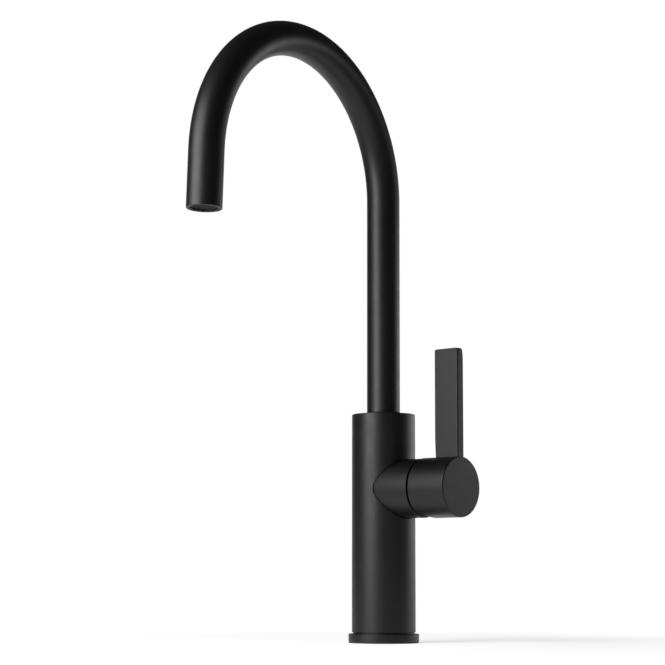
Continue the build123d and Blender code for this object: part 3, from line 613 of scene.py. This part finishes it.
# Camera
LENS, SENSOR, NEAR_CLIP, FAR_CLIP = 103.172, 36, 0.05, 50
PITCH_DEG, YAW_DEG, ROLL_DEG, PSI_DEG = 7.3547, -0.0744, 0.1266, 41.84
pitch, yaw, roll = (math.radians(a) for a in (PITCH_DEG, YAW_DEG, ROLL_DEG))
ahead = Vector((math.sin(yaw) * math.cos(pitch), math.cos(yaw) * math.cos(pitch), math.sin(pitch)))
right = Vector((math.cos(yaw), -math.sin(yaw), 0))
up = right.cross(ahead)
right, up = (
    math.cos(roll) * right + math.sin(roll) * up,
    -math.sin(roll) * right + math.cos(roll) * up,
)
to_part = Matrix.Rotation(math.radians(PSI_DEG), 4, "Z")
turn = Matrix((right, up, -ahead)).transposed().to_4x4()
eye = Vector((-0.035430, -1.382441, 0.045615))
camera = bpy.data.objects.new("camera", bpy.data.cameras.new("camera"))
bpy.context.scene.collection.objects.link(camera)
camera.data.lens, camera.data.sensor_width = LENS, SENSOR
camera.data.clip_start, camera.data.clip_end = NEAR_CLIP, FAR_CLIP
camera.matrix_world = to_part @ Matrix.Translation(eye) @ turn
bpy.context.scene.camera = camera

# Stage and light, in metres. Levels of white: round the stage, and on the floor outside the picture
SURROUND, FAR_FLOOR = 0.06, 0.26
# White part: half its width at the object, its spread with depth, and its fades in front and to the sides
PICTURE_HALF, PICTURE_SPREAD, FRONT_FADE, FRONT_EDGE = 0.26, 0.18, -0.75, -0.40
SIDE_FADE, FADE_SPREAD = 0.34, 0.80
# Axes of the picture on the floor: away from the camera and to its right
away = (to_part @ Vector((0, 1, 0))).normalized()
across = (to_part @ Vector((1, 0, 0))).normalized()


def on_stage(sideways, deep, height):
    return across * sideways + away * deep + Vector((0, 0, height))


def step(value, start, stop):
    t = min(1.0, max(0.0, (value - start) / (stop - start)))
    return t * t * (3 - 2 * t)


def grid(rows, wide):
    """Faces of a sheet whose points are listed row by row."""
    return [(r * wide + c, r * wide + c + 1, (r + 1) * wide + c + 1, (r + 1) * wide + c)
            for r in range(rows - 1) for c in range(wide - 1)]


def staged(name, points, faces, glow, tone):
    """A stage surface with a tone and a glow, for camera, glossy and transmission rays, at each point."""
    mesh = bpy.data.meshes.new(name)
    mesh.from_pydata(points, [], faces)
    mesh.attributes.new("glow", "FLOAT", "POINT").data.foreach_set("value", glow)
    mesh.attributes.new("tone", "FLOAT", "POINT").data.foreach_set("value", tone)
    obj = bpy.data.objects.new(name, mesh)
    bpy.context.scene.collection.objects.link(obj)
    material = bpy.data.materials.new(name)
    material.use_nodes = True
    tree = material.node_tree

    def value_of(attribute):
        node = tree.nodes.new("ShaderNodeAttribute")
        node.attribute_name = attribute
        return node.outputs["Fac"]

    def maths(operation, a, b):
        node = tree.nodes.new("ShaderNodeMath")
        node.operation = operation
        tree.links.new(a, node.inputs[0])
        tree.links.new(b, node.inputs[1])
        return node.outputs["Value"]

    rays = tree.nodes.new("ShaderNodeLightPath").outputs
    seen = maths("MAXIMUM", rays["Is Camera Ray"], rays["Is Glossy Ray"])
    seen = maths("MAXIMUM", seen, rays["Is Transmission Ray"])
    shader = tree.nodes["Principled BSDF"]
    shader.inputs["Roughness"].default_value = 0.9
    shader.inputs["Specular IOR Level"].default_value = 0.0
    shader.inputs["Emission Color"].default_value = (1, 1, 1, 1)
    tree.links.new(maths("MULTIPLY", value_of("glow"), seen), shader.inputs["Emission Strength"])
    tree.links.new(value_of("tone"), shader.inputs["Base Color"])
    mesh.materials.append(material)


def whiteness(side, deep):
    """Share of white at a place on the stage: 1 inside the picture, 0 well outside it."""
    past = abs(side - eye.x) - PICTURE_HALF - PICTURE_SPREAD * deep
    soft = SIDE_FADE + FADE_SPREAD * max(deep, 0)
    return (1 - step(past, 0, soft)) * step(deep, FRONT_FADE, FRONT_EDGE)


# White backdrop far behind the object, fading into the surround past the picture's edges
WALL_DEEP, WALL_LOW, WALL_TALL, WALL_FADE, WALL_FADE_STEPS = 6.5, -0.02, 2.6, 1.2, 6
WALL_STEP, WALL_STEPS = 0.25, 30
sides = [WALL_STEP * k for k in range(-WALL_STEPS, WALL_STEPS + 1)]
heights = [WALL_LOW] + [WALL_TALL + WALL_FADE * k / WALL_FADE_STEPS for k in range(WALL_FADE_STEPS + 1)]
points, glow = [], []
for height in heights:
    for side in sides:
        points.append(on_stage(side, WALL_DEEP, height))
        share = whiteness(side, WALL_DEEP) * (1 - step(height, WALL_TALL, WALL_TALL + WALL_FADE))
        glow.append(SURROUND + (1.0 - SURROUND) * share)
staged("backdrop", points, grid(len(heights), len(sides)), glow, [0.0] * len(points))

# Pale floor: white in the picture, pale grey round it, with room for the shadow at the foot
SECTORS, NEAR_RINGS, NEAR_STEP, FAR_GROWTH, FLOOR_R = 240, 30, 0.02, 1.05, 10.0
SHADE_IN, SHADE_OUT, SHADE_DIM, SHADE_TONE, FAR_START = 0.12, 0.34, 0.3, 0.55, 2.2
radii = [NEAR_STEP * k for k in range(1, NEAR_RINGS + 1)]
while radii[-1] < FLOOR_R:
    radii.append(radii[-1] * FAR_GROWTH)
points, glow, tone = [], [], []
for radius in radii:
    for k in range(SECTORS + 1):
        side = radius * math.sin(2 * math.pi * k / SECTORS)
        deep = radius * math.cos(2 * math.pi * k / SECTORS)
        points.append(on_stage(side, deep, 0))
        near = 1 - step(radius, SHADE_IN, SHADE_OUT)
        far = FAR_FLOOR + (SURROUND - FAR_FLOOR) * step(radius, FAR_START, WALL_DEEP)
        glow.append(far + (1.0 - SHADE_DIM * near - far) * whiteness(side, deep))
        tone.append(SHADE_TONE * near)
staged("floor", points, grid(len(radii), SECTORS + 1), glow, tone)

world = bpy.data.worlds.new("surround")
bpy.context.scene.world = world
world.use_nodes = True
world.node_tree.nodes["Background"].inputs["Color"].default_value = (SURROUND, SURROUND, SURROUND, 1)
world.node_tree.nodes["Background"].inputs["Strength"].default_value = 1.0


def softbox(name, azimuth, distance, height, width, tall, power):
    """An area lamp. Azimuth 0 is at the camera, positive to its right."""
    a = math.radians(azimuth)
    lamp = bpy.data.lights.new(name, "AREA")
    lamp.shape, lamp.size, lamp.size_y, lamp.energy = "RECTANGLE", width, tall, power
    obj = bpy.data.objects.new(name, lamp)
    bpy.context.scene.collection.objects.link(obj)
    obj.location = on_stage(distance * math.sin(a), -distance * math.cos(a), height)
    obj.rotation_euler = (Vector((0, 0, AIM_Z)) - obj.location).to_track_quat("-Z", "Y").to_euler()


AIM_Z = 0.18
softbox("key", azimuth=-51.75, distance=0.73, height=0.404, width=0.543, tall=0.672, power=7.5)
softbox("rim", azimuth=120.9, distance=1.615, height=0.322, width=1.355, tall=0.46, power=4.7)

bpy.context.scene.view_settings.view_transform = "Standard"
